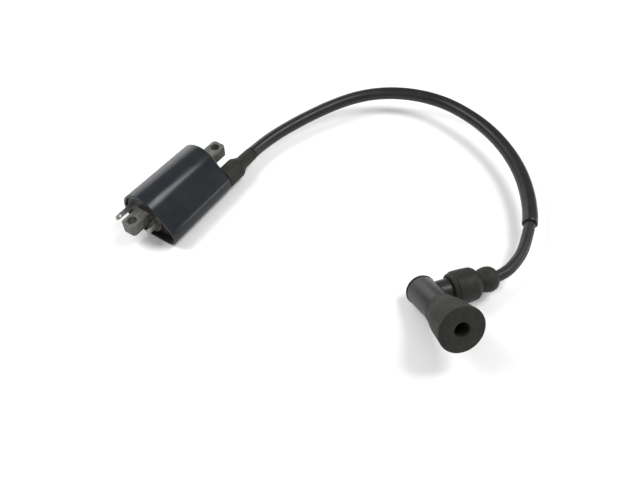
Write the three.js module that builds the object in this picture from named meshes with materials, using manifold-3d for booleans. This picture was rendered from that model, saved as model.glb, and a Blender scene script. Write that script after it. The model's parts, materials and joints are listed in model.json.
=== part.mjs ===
// Ignition coil with its high-tension lead and right-angle spark plug cap.
// Millimetres, +Z up, +X along the iron core towards the lead.

import * as THREE from 'three';
import { mergeVertices } from 'three/addons/utils/BufferGeometryUtils.js';
import Module from 'manifold-3d';

const wasm = await Module();
wasm.setup();

// ---------------------------------------------------------------- driving dimensions

const GAP = 0.3;

// Moulded case: a barrel and a slimmer lead tower side by side, both lying on the bench
const BARREL_R = 16.3;
const BARREL_R_FAR = 16.1;
const AXIS_Z = BARREL_R;
const TOWER_Y = -17.2;
const TOWER_Z = 9;
const TOWER_R = 9;
const TOWER_R_FAR = 7.9;
const CASE_NEAR_X = -32.5;
const CASE_FAR_X = 27;
const CASE_WALL = 1.8;
const CAVITY_FAR_X = 24.8;
const CAVITY_R = 14.4;
const POCKET_FLOOR_X = -25;
const STUB_R = 5.9;
const STUB_END_X = 38;
const POCKET_RIBS = [-6, 0, 6];
const RIB_HEIGHT = 3.4;
const RIB_THICKNESS = 1;
const RIB_SETBACK = 1.2;
const STUB_ROOT = 3;
const EDGE_BEVEL = 0.4;

// Laminated iron core, one straight bar with a fixing hole in each end
const CORE_HALF_LENGTH = 46.3;
const CORE_WIDTH = 10.4;
const CORE_HEIGHT = 7.8;
const CORE_CORNER = 2.4;
const SHEET_COUNT = 8;
const SHEET_GAP = 0.03;
const FIXING_X = 41;
const FIXING_R = 3.1;

// Windings, as radii about the core
const BOBBIN_NEAR_X = -24;
const BOBBIN_FAR_X = 23.5;
const PRIMARY_TUBE_R = 7.9;
const PRIMARY_FLANGE_R = 9.5;
const SECONDARY_BORE_R = 9.8;
const SECONDARY_TUBE_R = 10.5;
const SECONDARY_FLANGE_R = 13.6;
const COLLAR_R = 14.1;
const COLLAR_BORE_R = 12.9;
const COLLAR_NEAR_X = -31.2;
const SECTION_COUNT = 6;
const FLANGE = 1;
const NOTCH_WIDTH = 1.6;
const NOTCH_TOP_R = 11;

// Potting
const RESIN_NEAR_X = -30.3;
const RESIN_FAR_X = -26.5;
const TOWER_RESIN_NEAR_X = -28.6;

// Blade terminals, [y, z] of each blade's middle and the x of its tip
const LEFT_BLADE = { y: 11.2, z: 18, tip: -44.6, width: 4.8, hole: 0.9 };
const RIGHT_BLADE = { y: -8, z: 10.8, tip: -39.5, width: 4.8, hole: 0 };
const BLADE_SHOULDER_X = -31.5;
const BLADE_ROOT_X = -25.8;
const BLADE_THICKNESS = 0.8;
const BLADE_TIP_BEVEL = 1.6;
const BLADE_HOLE_SETBACK = 3.4;
const ROOT_THICKNESS = 0.6;
const ROOT_WIDTH = 3.8;
const LINK_R = 0.35;

// High-tension contact in the tower
const CONTACT_X = 9;
const CONTACT_BACK_X = 3.4;
const CONTACT_PLATE_R = 3.2;
const SPIKE_R = 1;
const SPIKE_END_X = 19.5;
const HT_LINK_X = 4.2;
const WEB_WINDOW_WIDTH = 2;
const WEB_WINDOW_FROM_R = 12;
const WEB_WINDOW_TO_R = 17;

// Lead and sleeve
const LEAD_R = 3.6;
const LEAD_BORE_R = 1.35;
const CONDUCTOR_R = 1;
const SLEEVE_R = 4.5;
const SLEEVE_BORE_R = 3.95;
const LEAD_STEPS = 36;
const SLEEVE_FIRST_STEP = 4;
const SLEEVE_LAST_STEP = 29;
const CONDUCTOR_FIRST_STEP = 1;
const CONDUCTOR_LAST_STEP = 35;

// Rubber boot over the tower stub
const TOWER_BOOT_START_X = 27.3;
const TOWER_BOOT_SHOULDER_X = 43;
const TOWER_BOOT_END_X = 59.3;
const TOWER_BOOT_R = 7.5;
const TOWER_BOOT_NECK_R = 4.7;

// Plug cap. Its own frame has the tube along Z and the lead arm along X.
const CAP_JOINT = [14.45, -180.85, 12.85];
const CAP_HEADING = THREE.MathUtils.degToRad(-128.5);
const CAP_RISE = THREE.MathUtils.degToRad(28.8);
const TUBE_R = 9.3;
const TUBE_BACK_Z = -7.9;
const TUBE_FRONT_Z = 26.7;
const CLOSURE_Z = -10;
const CLOSURE_R = 9.6;
const BACK_BORE_R = 4.4;
const SOCKET_BORE_R = 4.9;
const MOUTH_BORE_R = 6.8;
const SOCKET_SEAT_Z = 14;
const MOUTH_Z = 20;
const HUB_R = 7.3;
const HUB_END_X = 14.2;
const ARM_R = 6.2;
const ARM_END_X = 29;
const ARM_BORE_R = 4;
const LEAD_END_X = 12;
const ARM_STRAIGHT_X = 46;
const BOOT_BACK_Z = 18;
const BOOT_FRONT_Z = 43.4;
const BOOT_MOUTH_R = 4.4;
const BOOT_SOCKET_R = 7.4;

// What the cap holds: the resistor, the spring, the plug's socket and the lead's screw
const RESISTOR_R = 3.5;
const RESISTOR_FROM_Z = -4;
const RESISTOR_TO_Z = 8;
const SPRING_TURNS = 4;
const SPRING_R = 2.6;
const SPRING_WIRE_R = 0.35;
const SPRING_FROM_Z = RESISTOR_TO_Z + SPRING_WIRE_R + 0.2;
const SPRING_TO_Z = SOCKET_SEAT_Z - SPRING_WIRE_R;
const TERMINAL_FRONT_Z = 24.5;
const TERMINAL_FLOOR_Z = 16;
const TERMINAL_BORE_R = 3.4;
const TERMINAL_GROOVE_R = 4.2;
const RING_Z = 22;
const RING_R = 3.75;
const RING_WIRE_R = 0.28;
const RING_HALF_GAP = 0.35;
const SCREW_HEAD_X = 4.2;
const SCREW_NECK_X = 6;
const SCREW_HEAD_R = 3.2;
const LEAD_BOOT_START_X = 14.6;
const LEAD_BOOT_END_X = 44.8;
const LEAD_BOOT_BORE_R = LEAD_R + 0.4;

// ---------------------------------------------------------------- the cap's place

const tubeAxis = new THREE.Vector3(
  Math.cos(CAP_RISE) * Math.cos(CAP_HEADING),
  Math.cos(CAP_RISE) * Math.sin(CAP_HEADING),
  Math.sin(CAP_RISE),
);
const armAxis = new THREE.Vector3(-Math.sin(CAP_HEADING), Math.cos(CAP_HEADING), 0);
const sideAxis = new THREE.Vector3().crossVectors(tubeAxis, armAxis);
const capJoint = new THREE.Vector3(...CAP_JOINT);

function onArm(distance) {
  return capJoint.clone().addScaledVector(armAxis, distance);
}

// ---------------------------------------------------------------- general helpers

function signedVolume(geometry) {
  const flat = geometry.index ? geometry.toNonIndexed() : geometry;
  const at = flat.attributes.position;
  const a = new THREE.Vector3();
  const b = new THREE.Vector3();
  const c = new THREE.Vector3();
  let total = 0;
  for (let i = 0; i < at.count; i += 3) {
    a.fromBufferAttribute(at, i);
    b.fromBufferAttribute(at, i + 1);
    c.fromBufferAttribute(at, i + 2);
    total += a.dot(b.cross(c)) / 6;
  }
  return total;
}

// A closed geometry with shared vertices, no slivers and its faces pointing out
function closed(geometry) {
  const bare = geometry.clone();
  bare.deleteAttribute('normal');
  bare.deleteAttribute('uv');
  const merged = mergeVertices(bare, 1e-4);
  const inward = signedVolume(merged) < 0;
  const index = merged.index.array;
  const kept = [];
  for (let i = 0; i < index.length; i += 3) {
    const [a, b, c] = [index[i], index[i + 1], index[i + 2]];
    if (a === b || b === c || a === c) continue;
    kept.push(a, inward ? c : b, inward ? b : c);
  }
  merged.setIndex(kept);
  return merged;
}

function solid(geometry) {
  const body = closed(geometry);
  return new wasm.Manifold(new wasm.Mesh({
    numProp: 3,
    vertProperties: new Float32Array(body.attributes.position.array),
    triVerts: new Uint32Array(body.index.array),
  }));
}

function geometryOf(manifold) {
  const mesh = manifold.getMesh();
  const geometry = new THREE.BufferGeometry();
  geometry.setAttribute('position', new THREE.BufferAttribute(mesh.vertProperties, 3));
  geometry.setIndex(new THREE.BufferAttribute(mesh.triVerts, 1));
  return geometry;
}

// The first geometry with every other one taken out of it
function cut(body, ...tools) {
  return geometryOf(tools.reduce((left, tool) => left.subtract(solid(tool)), solid(body)));
}

function join(...bodies) {
  return geometryOf(bodies.slice(1).reduce((sum, body) => sum.add(solid(body)), solid(bodies[0])));
}

// A body of revolution from [place along the axis, radius] pairs
function turned(axis, profile, sides = 24) {
  const points = profile.map(([along, radius]) => new THREE.Vector2(radius, along));
  const geometry = new THREE.LatheGeometry(points, sides);
  if (axis === 'x') geometry.rotateZ(-Math.PI / 2);
  if (axis === 'z') geometry.rotateX(Math.PI / 2);
  return closed(geometry);
}

function rod(axis, radius, from, to, sides = 24) {
  return turned(axis, [[from, 0], [from, radius], [to, radius], [to, 0]], sides);
}

function ringBody(axis, bore, radius, from, to, sides = 24) {
  const profile = [[from, bore], [from, radius], [to, radius], [to, bore], [from, bore]];
  return turned(axis, profile, sides);
}

function box(from, to) {
  const size = to.map((value, i) => value - from[i]);
  const middle = to.map((value, i) => (value + from[i]) / 2);
  return new THREE.BoxGeometry(...size).translate(...middle);
}

function onCore(geometry) {
  return geometry.translate(0, 0, AXIS_Z);
}

function onTower(geometry) {
  return geometry.translate(0, TOWER_Y, TOWER_Z);
}

const parts = new THREE.Group();
parts.position.set(-(TOWER_BOOT_END_X - CORE_HALF_LENGTH) / 2, -(BARREL_R + TOWER_Y - TOWER_R) / 2, 0);
const cap = new THREE.Group();
cap.position.copy(capJoint);
cap.setRotationFromMatrix(new THREE.Matrix4().makeBasis(armAxis, sideAxis, tubeAxis));

const finishes = {
  casePlastic: { color: 0x14161c, roughness: 0.25, metalness: 0 },
  bobbinPlastic: { color: 0x2a2723, roughness: 0.5, metalness: 0 },
  resin: { color: 0x2e211c, roughness: 0.45, metalness: 0 },
  iron: { color: 0x8b8a86, roughness: 0.5, metalness: 0.9 },
  copper: { color: 0x9a4a24, roughness: 0.35, metalness: 0.9 },
  tinned: { color: 0xc9c8c2, roughness: 0.3, metalness: 1 },
  brass: { color: 0xb08d45, roughness: 0.35, metalness: 1 },
  steel: { color: 0xa8a8a4, roughness: 0.35, metalness: 1 },
  rubber: { color: 0x262622, roughness: 0.75, metalness: 0 },
  vinyl: { color: 0x1c1c1d, roughness: 0.45, metalness: 0 },
  phenolic: { color: 0x1f1f1f, roughness: 0.35, metalness: 0 },
  ceramic: { color: 0xb9b2a2, roughness: 0.6, metalness: 0 },
};

function add(group, name, geometry, finish) {
  const mesh = new THREE.Mesh(geometry, new THREE.MeshStandardMaterial(finishes[finish]));
  mesh.name = name;
  group.add(mesh);
}

// ---------------------------------------------------------------- case

// Outline round the barrel and the tower, anticlockwise seen from +X, as [y, z] pairs
function twinOutline(barrelR, towerR) {
  const dy = TOWER_Y;
  const dz = TOWER_Z - AXIS_Z;
  const base = Math.atan2(dz, dy);
  const spread = Math.acos((barrelR - towerR) / Math.hypot(dy, dz));
  const outline = [];
  const arc = (y, z, radius, from, to, steps) => {
    for (let i = 0; i <= steps; i += 1) {
      const turn = from + ((to - from) * i) / steps;
      outline.push([y + radius * Math.cos(turn), z + radius * Math.sin(turn)]);
    }
  };
  arc(0, AXIS_Z, barrelR, base + spread, base - spread + 2 * Math.PI, 28);
  arc(TOWER_Y, TOWER_Z, towerR, base - spread, base + spread, 10);
  return outline;
}

// A convex body through outlines of equal length at rising x
function loft(sections) {
  const count = sections[0].outline.length;
  const vertices = [];
  const faces = [];
  sections.forEach(({ x, outline }) => outline.forEach(([y, z]) => vertices.push(x, y, z)));
  for (let s = 0; s + 1 < sections.length; s += 1) {
    for (let i = 0; i < count; i += 1) {
      const a = s * count + i;
      const b = s * count + ((i + 1) % count);
      faces.push(a, b, b + count, a, b + count, a + count);
    }
  }
  const last = (sections.length - 1) * count;
  for (let i = 1; i + 1 < count; i += 1) {
    faces.push(0, i + 1, i, last, last + i, last + i + 1);
  }
  const geometry = new THREE.BufferGeometry();
  geometry.setAttribute('position', new THREE.Float32BufferAttribute(vertices, 3));
  geometry.setIndex(faces);
  return geometry;
}

// The case's outer surface, or a smaller copy of it, between two places along x
function caseSection(x, inset) {
  const along = (x - CASE_NEAR_X) / (CASE_FAR_X - CASE_NEAR_X);
  const barrelR = THREE.MathUtils.lerp(BARREL_R, BARREL_R_FAR, along);
  const towerR = THREE.MathUtils.lerp(TOWER_R, TOWER_R_FAR, along);
  return { x, outline: twinOutline(barrelR - inset, towerR - inset) };
}

function makeCase() {
  const shell = loft([
    caseSection(CASE_NEAR_X, EDGE_BEVEL),
    caseSection(CASE_NEAR_X + EDGE_BEVEL, 0),
    caseSection(CASE_FAR_X - 2.2, 0),
    caseSection(CASE_FAR_X - 1.1, 0.3),
    caseSection(CASE_FAR_X - 0.3, 1.1),
    caseSection(CASE_FAR_X, 2.2),
  ]);
  const stub = onTower(rod('x', STUB_R, CASE_FAR_X - STUB_ROOT, STUB_END_X));
  const barrelBore = onCore(rod('x', CAVITY_R, CASE_NEAR_X - 1, CAVITY_FAR_X, 36));
  const pocket = loft([
    caseSection(CASE_NEAR_X - 1, CASE_WALL),
    caseSection(POCKET_FLOOR_X, CASE_WALL),
  ]);
  const leadBore = onTower(rod('x', LEAD_R + GAP, CONTACT_BACK_X - 1, STUB_END_X + 1));
  const linkWindow = webWindow();
  const halfWidth = CORE_WIDTH / 2 + GAP;
  const halfHeight = CORE_HEIGHT / 2 + GAP;
  const coreWindow = box(
    [CAVITY_FAR_X - 1, -halfWidth, AXIS_Z - halfHeight],
    [CASE_FAR_X + 1, halfWidth, AXIS_Z + halfHeight],
  );
  const body = cut(join(shell, stub), barrelBore, pocket, leadBore, linkWindow, coreWindow);
  const ribs = POCKET_RIBS.map((offset) => pocketRib(offset));
  return join(body, ...ribs);
}

// The window through the web between the barrel's bore and the tower's, for the link wire
function webWindow() {
  const half = WEB_WINDOW_WIDTH / 2;
  const window = box(
    [HT_LINK_X - half, WEB_WINDOW_FROM_R, -half],
    [HT_LINK_X + half, WEB_WINDOW_TO_R, half],
  );
  window.rotateX(Math.atan2(TOWER_Z - AXIS_Z, TOWER_Y));
  return onCore(window);
}

// A short fin standing on the wall of the tower's pocket
function pocketRib(offset) {
  const reach = Math.sqrt((TOWER_R - CASE_WALL / 2) ** 2 - offset ** 2);
  const fin = box(
    [CASE_NEAR_X + RIB_SETBACK, -reach, offset - RIB_THICKNESS / 2],
    [TOWER_RESIN_NEAR_X - GAP, -reach + RIB_HEIGHT, offset + RIB_THICKNESS / 2],
  );
  return onTower(fin);
}

add(parts, 'coil_case', makeCase(), 'casePlastic');

// ---------------------------------------------------------------- iron core

function circlePath(x, radius, sides) {
  const points = [];
  for (let i = 0; i < sides; i += 1) {
    const turn = (-2 * Math.PI * i) / sides;
    points.push(new THREE.Vector2(x + radius * Math.cos(turn), radius * Math.sin(turn)));
  }
  return new THREE.Path(points);
}

function coreSheet() {
  const x = CORE_HALF_LENGTH;
  const y = CORE_WIDTH / 2;
  const c = CORE_CORNER;
  const shape = new THREE.Shape();
  shape.moveTo(-x + c, -y);
  shape.lineTo(x - c, -y);
  shape.absarc(x - c, -y + c, c, -Math.PI / 2, 0);
  shape.absarc(x - c, y - c, c, 0, Math.PI / 2);
  shape.absarc(-x + c, y - c, c, Math.PI / 2, Math.PI);
  shape.absarc(-x + c, -y + c, c, Math.PI, 1.5 * Math.PI);
  shape.holes.push(circlePath(FIXING_X, FIXING_R, 16), circlePath(-FIXING_X, FIXING_R, 16));
  const depth = CORE_HEIGHT / SHEET_COUNT - SHEET_GAP;
  return new THREE.ExtrudeGeometry(shape, { depth, bevelEnabled: false, curveSegments: 2 });
}

for (let i = 0; i < SHEET_COUNT; i += 1) {
  const bottom = AXIS_Z - CORE_HEIGHT / 2 + (i * CORE_HEIGHT) / SHEET_COUNT + SHEET_GAP / 2;
  add(parts, `core_sheet_${i + 1}`, closed(coreSheet().translate(0, 0, bottom)), 'iron');
}

// ---------------------------------------------------------------- bobbins and windings

const blades = { left: LEFT_BLADE, right: RIGHT_BLADE };

function bladeTurn(blade) {
  return Math.atan2(blade.z - AXIS_Z, blade.y);
}

// A notch through the primary bobbin's near flange for one end of the winding
function flangeNotch(blade) {
  const notch = box(
    [BOBBIN_NEAR_X - 1, PRIMARY_TUBE_R + 0.2, -NOTCH_WIDTH / 2],
    [BOBBIN_NEAR_X + FLANGE + 1, NOTCH_TOP_R, NOTCH_WIDTH / 2],
  );
  notch.rotateX(bladeTurn(blade));
  return onCore(notch);
}

function primaryBobbin() {
  const near = BOBBIN_NEAR_X;
  const far = BOBBIN_FAR_X;
  const spool = onCore(turned('x', [
    [near, 0],
    [near, PRIMARY_FLANGE_R],
    [near + FLANGE, PRIMARY_FLANGE_R],
    [near + FLANGE, PRIMARY_TUBE_R],
    [far - FLANGE, PRIMARY_TUBE_R],
    [far - FLANGE, PRIMARY_FLANGE_R],
    [far, PRIMARY_FLANGE_R],
    [far, 0],
  ]));
  const halfWidth = CORE_WIDTH / 2 + GAP;
  const halfHeight = CORE_HEIGHT / 2 + GAP;
  const coreWindow = box(
    [near - 1, -halfWidth, AXIS_Z - halfHeight],
    [far + 1, halfWidth, AXIS_Z + halfHeight],
  );
  return cut(spool, coreWindow, flangeNotch(blades.left), flangeNotch(blades.right));
}

add(parts, 'primary_bobbin', primaryBobbin(), 'bobbinPlastic');

const primaryNear = BOBBIN_NEAR_X + FLANGE + GAP;
const primaryFar = BOBBIN_FAR_X - FLANGE - GAP;
const primaryR = PRIMARY_FLANGE_R - 0.1;
const primaryWinding = ringBody('x', PRIMARY_TUBE_R + GAP, primaryR, primaryNear, primaryFar);
add(parts, 'primary_winding', onCore(primaryWinding), 'copper');

const sectionPitch = (BOBBIN_FAR_X - BOBBIN_NEAR_X - FLANGE) / SECTION_COUNT;

function secondaryBobbin() {
  const near = BOBBIN_NEAR_X;
  const profile = [
    [near, SECONDARY_BORE_R],
    [near, COLLAR_BORE_R],
    [COLLAR_NEAR_X, COLLAR_BORE_R],
    [COLLAR_NEAR_X, COLLAR_R],
    [near + FLANGE, COLLAR_R],
    [near + FLANGE, SECONDARY_TUBE_R],
  ];
  for (let i = 1; i <= SECTION_COUNT; i += 1) {
    const flangeX = near + i * sectionPitch;
    profile.push([flangeX, SECONDARY_TUBE_R], [flangeX, SECONDARY_FLANGE_R]);
    profile.push([flangeX + FLANGE, SECONDARY_FLANGE_R]);
    profile.push([flangeX + FLANGE, i < SECTION_COUNT ? SECONDARY_TUBE_R : SECONDARY_BORE_R]);
  }
  profile.push([near, SECONDARY_BORE_R]);
  return onCore(turned('x', profile));
}

add(parts, 'secondary_bobbin', secondaryBobbin(), 'bobbinPlastic');

for (let i = 0; i < SECTION_COUNT; i += 1) {
  const from = BOBBIN_NEAR_X + FLANGE + i * sectionPitch + GAP;
  const to = BOBBIN_NEAR_X + (i + 1) * sectionPitch - GAP;
  const winding = ringBody('x', SECONDARY_TUBE_R + GAP, SECONDARY_FLANGE_R - 0.4, from, to);
  add(parts, `secondary_winding_${i + 1}`, onCore(winding), 'copper');
}

// ---------------------------------------------------------------- potting and terminals

function bladeSlot({ y, z }) {
  const halfThick = ROOT_THICKNESS / 2 + GAP;
  const halfWidth = ROOT_WIDTH / 2 + GAP;
  return box(
    [RESIN_NEAR_X - 1, y - halfThick, z - halfWidth],
    [RESIN_FAR_X + 1, y + halfThick, z + halfWidth],
  );
}

function pottingResin() {
  const disc = onCore(rod('x', COLLAR_BORE_R - GAP, RESIN_NEAR_X, RESIN_FAR_X));
  const halfWidth = CORE_WIDTH / 2 + GAP;
  const halfHeight = CORE_HEIGHT / 2 + GAP;
  const coreWindow = box(
    [RESIN_NEAR_X - 1, -halfWidth, AXIS_Z - halfHeight],
    [RESIN_FAR_X + 1, halfWidth, AXIS_Z + halfHeight],
  );
  return cut(disc, coreWindow, bladeSlot(LEFT_BLADE), bladeSlot(RIGHT_BLADE));
}

function towerResin() {
  const fill = loft([
    caseSection(TOWER_RESIN_NEAR_X, CASE_WALL + GAP),
    caseSection(POCKET_FLOOR_X - GAP, CASE_WALL + GAP),
  ]);
  const near = TOWER_RESIN_NEAR_X - 1;
  const far = POCKET_FLOOR_X + 1;
  const barrel = onCore(rod('x', CAVITY_R + 0.5, near, far, 36));
  return cut(fill, barrel, box([near, -9, -1], [far, 20, 40]));
}

add(parts, 'potting_resin', pottingResin(), 'resin');
add(parts, 'tower_resin', towerResin(), 'resin');

// A flat blade in the XZ plane with a pointed or rounded tip, and a thinner root behind its shoulder
function bladeTerminal({ y, z, tip, width, hole }, rounded) {
  const half = width / 2;
  const shape = new THREE.Shape();
  shape.moveTo(BLADE_SHOULDER_X, -half);
  shape.lineTo(BLADE_SHOULDER_X, half);
  if (rounded) {
    shape.lineTo(tip + half, half);
    shape.absarc(tip + half, 0, half, Math.PI / 2, 1.5 * Math.PI);
  } else {
    shape.lineTo(tip + BLADE_TIP_BEVEL, half);
    shape.lineTo(tip, half - BLADE_TIP_BEVEL);
    shape.lineTo(tip, -half + BLADE_TIP_BEVEL);
    shape.lineTo(tip + BLADE_TIP_BEVEL, -half);
  }
  if (hole > 0) shape.holes.push(circlePath(tip + BLADE_HOLE_SETBACK, hole, 12));
  const options = { depth: BLADE_THICKNESS, bevelEnabled: false, curveSegments: 8 };
  const blade = new THREE.ExtrudeGeometry(shape, options).rotateX(Math.PI / 2);
  const root = box(
    [BLADE_SHOULDER_X - 1, y - ROOT_THICKNESS / 2, z - ROOT_WIDTH / 2],
    [BLADE_ROOT_X, y + ROOT_THICKNESS / 2, z + ROOT_WIDTH / 2],
  );
  return join(blade.translate(0, y + BLADE_THICKNESS / 2, z), root);
}

add(parts, 'blade_terminal_left', bladeTerminal(LEFT_BLADE, false), 'tinned');
add(parts, 'blade_terminal_right', bladeTerminal(RIGHT_BLADE, true), 'tinned');

// ---------------------------------------------------------------- tubes along a curve

function polygon(radius, sides) {
  const points = [];
  for (let i = 0; i < sides; i += 1) {
    const turn = (2 * Math.PI * i) / sides;
    points.push(new THREE.Vector2(radius * Math.cos(turn), radius * Math.sin(turn)));
  }
  return points;
}

function tubeAlong(path, steps, radius, bore, sides) {
  const section = new THREE.Shape(polygon(radius, sides));
  if (bore > 0) section.holes.push(new THREE.Path(polygon(bore, sides).reverse()));
  const options = { steps, extrudePath: path, bevelEnabled: false };
  return closed(new THREE.ExtrudeGeometry(section, options));
}

// A wire from a blade's root into its notch in the primary bobbin
function primaryLink(blade) {
  const turn = bladeTurn(blade);
  const r = (PRIMARY_TUBE_R + PRIMARY_FLANGE_R) / 2 + 0.15;
  const y = r * Math.cos(turn);
  const z = AXIS_Z + r * Math.sin(turn);
  const start = BLADE_ROOT_X + GAP;
  const path = new THREE.CatmullRomCurve3([
    new THREE.Vector3(start, blade.y, blade.z),
    new THREE.Vector3(start + 0.5, (2 * blade.y + y) / 3, (2 * blade.z + z) / 3),
    new THREE.Vector3(start + 1.1, y, z),
    new THREE.Vector3(primaryNear - GAP, y, z),
  ]);
  return tubeAlong(path, 8, LINK_R, 0, 8);
}

add(parts, 'primary_link_left', primaryLink(blades.left), 'copper');
add(parts, 'primary_link_right', primaryLink(blades.right), 'copper');

// ---------------------------------------------------------------- high-tension contact

// A stub of wire from the secondary winding, through the web, to the contact's edge
function htLink() {
  const spacing = Math.hypot(TOWER_Y, TOWER_Z - AXIS_Z);
  const from = SECONDARY_FLANGE_R - 0.4 + GAP;
  const to = spacing - CONTACT_PLATE_R - GAP;
  const link = new THREE.CylinderGeometry(LINK_R, LINK_R, to - from, 8);
  link.translate(HT_LINK_X, (from + to) / 2, 0);
  link.rotateX(Math.atan2(TOWER_Z - AXIS_Z, TOWER_Y));
  return onCore(closed(link));
}

add(parts, 'ht_link', htLink(), 'copper');

function htContact() {
  return onTower(turned('x', [
    [CONTACT_BACK_X, 0],
    [CONTACT_BACK_X, CONTACT_PLATE_R],
    [CONTACT_X, CONTACT_PLATE_R],
    [CONTACT_X, SPIKE_R],
    [SPIKE_END_X - 2, SPIKE_R],
    [SPIKE_END_X, 0],
  ], 16));
}

add(parts, 'ht_contact', htContact(), 'brass');

// ---------------------------------------------------------------- lead and sleeve

const leadRoute = [
  [CONTACT_X + 3, TOWER_Y, TOWER_Z],
  [24, TOWER_Y, TOWER_Z],
  [36, TOWER_Y, TOWER_Z],
  [48, TOWER_Y, TOWER_Z],
  [60, TOWER_Y, TOWER_Z],
  [72, -18.4, 9.5],
  [84.5, -21, 10.3],
  [98.5, -25.4, 11.4],
  [115.5, -32.1, 12.8],
  [132, -40.1, 14.2],
  [147.4, -50.1, 15.5],
  [160.4, -63.3, 16.7],
  [169.4, -79, 17.7],
  [174.4, -96.5, 18.5],
  [175.4, -114, 18.9],
  [172.2, -131.9, 19.1],
  [166, -149.4, 19],
  [157, -165.5, 18.6],
  [145.6, -179.8, 18.1],
  [132.3, -192, 17.4],
  [117.4, -202, 16.6],
  [101.6, -209.6, 15.7],
  [88.5, -213, 14.9],
  [75.92, -215.01, 14],
  [67.37, -214.75, 13.4],
  [58.63, -213.16, 13],
];

function leadPath() {
  const points = leadRoute.map((point) => new THREE.Vector3(...point));
  [ARM_STRAIGHT_X, 36, 24, LEAD_END_X].forEach((distance) => points.push(onArm(distance)));
  const curve = new THREE.CatmullRomCurve3(points, false, 'centripetal');
  curve.arcLengthDivisions = 2000;
  return curve;
}

// A stretch of a longer curve, so that tubes on one route share its stations
class Stretch extends THREE.Curve {
  constructor(whole, from, to) {
    super();
    this.whole = whole;
    this.from = from;
    this.to = to;
  }

  getPoint(t, target = new THREE.Vector3()) {
    return this.whole.getPointAt(THREE.MathUtils.lerp(this.from, this.to, t), target);
  }
}

const route = leadPath();

function onLead(firstStep, lastStep, radius, bore, sides) {
  const stretch = new Stretch(route, firstStep / LEAD_STEPS, lastStep / LEAD_STEPS);
  return tubeAlong(stretch, lastStep - firstStep, radius, bore, sides);
}

const sleeveSteps = [SLEEVE_FIRST_STEP, SLEEVE_LAST_STEP];
const conductorSteps = [CONDUCTOR_FIRST_STEP, CONDUCTOR_LAST_STEP];
add(parts, 'ht_lead', onLead(0, LEAD_STEPS, LEAD_R, LEAD_BORE_R, 10), 'vinyl');
add(parts, 'lead_conductor', onLead(...conductorSteps, CONDUCTOR_R, 0, 6), 'copper');
add(parts, 'lead_sleeve', onLead(...sleeveSteps, SLEEVE_R, SLEEVE_BORE_R, 12), 'vinyl');

// ---------------------------------------------------------------- tower boot

function towerBoot() {
  const start = TOWER_BOOT_START_X;
  const shoulder = TOWER_BOOT_SHOULDER_X;
  const end = TOWER_BOOT_END_X;
  return onTower(turned('x', [
    [start, STUB_R + GAP],
    [start, TOWER_BOOT_R - 0.4],
    [start + 0.6, TOWER_BOOT_R],
    [shoulder - 1.4, TOWER_BOOT_R],
    [shoulder, TOWER_BOOT_R - 0.8],
    [shoulder + 2.4, 5.6],
    [shoulder + 3.4, 5],
    [end - 0.4, TOWER_BOOT_NECK_R],
    [end, TOWER_BOOT_NECK_R - 0.3],
    [end, LEAD_R + GAP],
    [STUB_END_X + GAP, LEAD_R + GAP],
    [STUB_END_X + GAP, STUB_R + GAP],
    [start, STUB_R + GAP],
  ]));
}

add(parts, 'tower_boot', towerBoot(), 'rubber');

// ---------------------------------------------------------------- plug cap

function capBody() {
  const tube = turned('z', [
    [TUBE_BACK_Z, 0],
    [TUBE_BACK_Z, TUBE_R],
    [TUBE_FRONT_Z - 0.6, TUBE_R],
    [TUBE_FRONT_Z, TUBE_R - 0.6],
    [TUBE_FRONT_Z, 0],
  ], 32);
  const arm = turned('x', [
    [0, 0],
    [0, HUB_R],
    [HUB_END_X - 0.5, HUB_R],
    [HUB_END_X, HUB_R - 0.5],
    [HUB_END_X, ARM_R],
    [ARM_END_X - 0.5, ARM_R],
    [ARM_END_X, ARM_R - 0.5],
    [ARM_END_X, 0],
  ]);
  return cut(
    join(tube, arm),
    rod('z', BACK_BORE_R, TUBE_BACK_Z - 1, SOCKET_SEAT_Z + 1),
    rod('z', SOCKET_BORE_R, SOCKET_SEAT_Z, MOUTH_Z + 1),
    rod('z', MOUTH_BORE_R, MOUTH_Z, TUBE_FRONT_Z + 1),
    rod('x', ARM_BORE_R, 3, ARM_END_X + 1),
  );
}

function capClosure() {
  return turned('z', [
    [CLOSURE_Z, 0],
    [CLOSURE_Z, CLOSURE_R - 1.4],
    [CLOSURE_Z + 0.4, CLOSURE_R - 0.3],
    [CLOSURE_Z + 1, CLOSURE_R],
    [TUBE_BACK_Z - GAP, CLOSURE_R],
    [TUBE_BACK_Z - GAP, BACK_BORE_R - GAP],
    [-4.4, BACK_BORE_R - GAP],
    [-4.4, 0],
  ], 32);
}

function leadScrew() {
  return turned('x', [
    [SCREW_HEAD_X, 0],
    [SCREW_HEAD_X, SCREW_HEAD_R],
    [SCREW_NECK_X, SCREW_HEAD_R],
    [SCREW_NECK_X, SPIKE_R],
    [LEAD_END_X + 5.5, SPIKE_R],
    [LEAD_END_X + 7.5, 0],
  ], 16);
}

class SpringCurve extends THREE.Curve {
  getPoint(t, target = new THREE.Vector3()) {
    const turn = 2 * Math.PI * SPRING_TURNS * t;
    const rise = SPRING_FROM_Z + (SPRING_TO_Z - SPRING_FROM_Z) * t;
    return target.set(SPRING_R * Math.cos(turn), SPRING_R * Math.sin(turn), rise);
  }
}

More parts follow.
